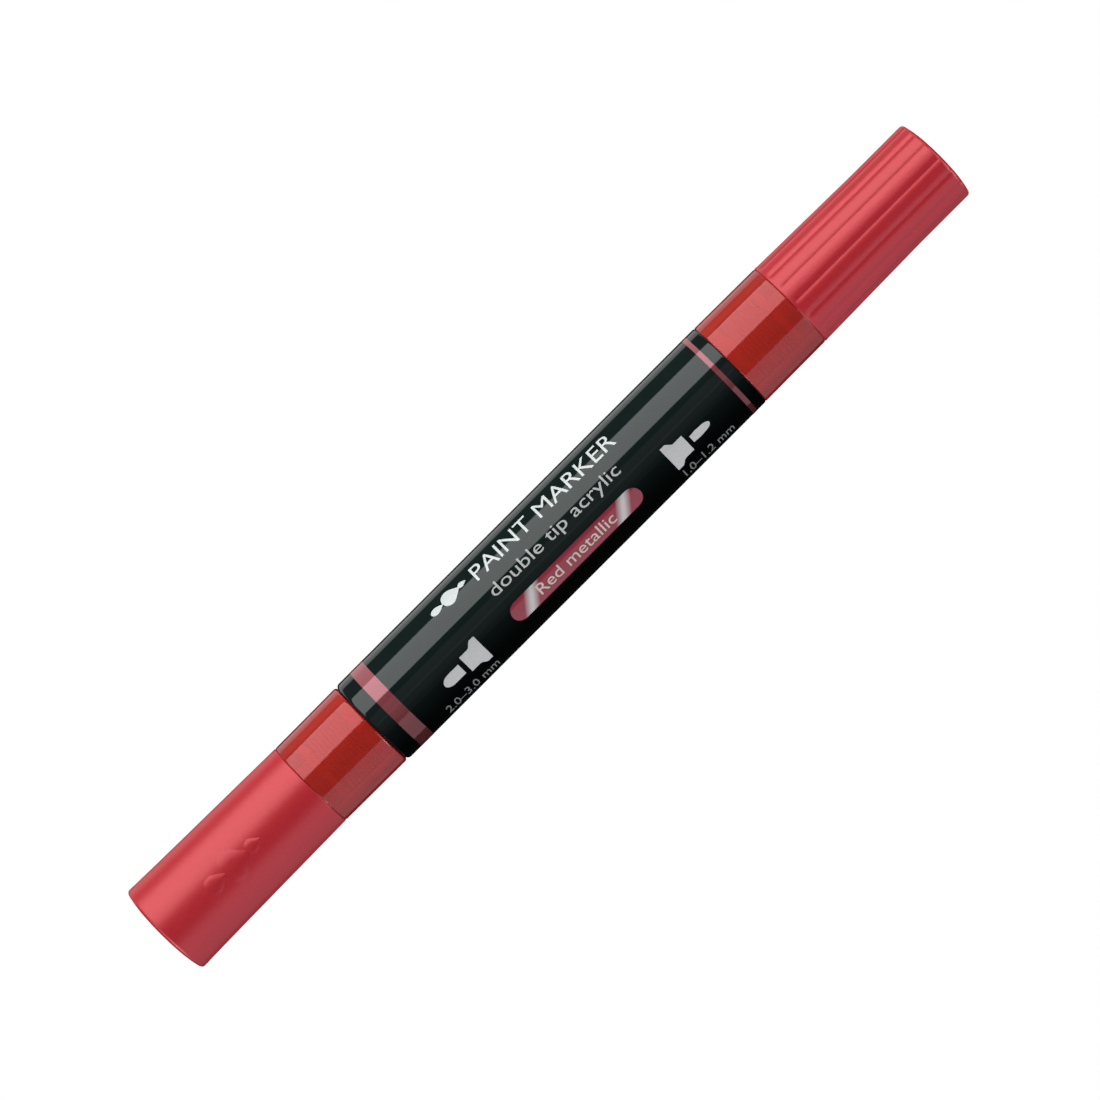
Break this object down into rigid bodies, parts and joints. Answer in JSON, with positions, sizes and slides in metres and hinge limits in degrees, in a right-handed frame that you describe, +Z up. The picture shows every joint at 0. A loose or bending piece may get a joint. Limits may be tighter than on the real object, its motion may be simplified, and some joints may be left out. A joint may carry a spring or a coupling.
{
  "type": "double-ended acrylic paint marker",
  "caption": "Double-ended acrylic paint marker with a broad round nib and a fine nib, each under a pull-off cap, and finned ink regulators behind clear red sections.",
  "frame": {"origin": "on the plane the marker lies on, under the middle of its length", "axes": "+X along the marker towards the fine nib, +Y across it, +Z up; the printed side faces +Z"},
  "size_m": [0.1454, 0.0142, 0.0142],
  "materials": {
    "barrel_black": "gloss black with white, grey and crimson print",
    "section_clear_red": "translucent red, polished",
    "cap_metal_red": "satin metallic red",
    "inner_cap_white": "natural milky",
    "divider_white": "natural milky",
    "regulator_red": "moulded, wetted with red ink",
    "holder_black": "fine satin",
    "nib_fibre": "bonded fibre, inked",
    "wick_fibre": "bonded fibre bundle, inked",
    "seal_rubber": "silicone",
    "ball_steel": "polished steel"
  },
  "bodies": {
    "marker_body": {"barrel": "barrel_black", "tank_divider": "divider_white", "divider_seals": "seal_rubber", "broad_section": "section_clear_red", "broad_section_seal": "seal_rubber", "broad_collector": "regulator_red", "broad_feed_wick": "wick_fibre", "broad_nib_holder": "holder_black", "broad_nib": "nib_fibre", "fine_section": "section_clear_red", "fine_section_seal": "seal_rubber", "fine_collector": "regulator_red", "fine_feed_wick": "wick_fibre", "fine_nib_holder": "holder_black", "fine_nib": "nib_fibre"},
    "broad_cap_body": {"broad_cap": "cap_metal_red", "broad_inner_cap": "inner_cap_white"},
    "fine_cap_body": {"fine_cap": "cap_metal_red", "fine_inner_cap": "inner_cap_white"},
    "broad_ball_body": {"broad_mixing_ball": "ball_steel"},
    "fine_ball_body": {"fine_mixing_ball": "ball_steel"}
  },
  "joints": [
    {"name": "broad_cap_pull", "type": "slide", "parent": "marker_body", "child": "broad_cap_body", "axis": [-1, 0, 0], "range_m": [0, 0.034]},
    {"name": "fine_cap_pull", "type": "slide", "parent": "marker_body", "child": "fine_cap_body", "axis": [1, 0, 0], "range_m": [0, 0.034]},
    {"name": "broad_ball_roll", "type": "slide", "parent": "marker_body", "child": "broad_ball_body", "axis": [-1, 0, 0], "range_m": [0, 0.0168]},
    {"name": "fine_ball_roll", "type": "slide", "parent": "marker_body", "child": "fine_ball_body", "axis": [-1, 0, 0], "range_m": [0, 0.0168]}
  ]
}
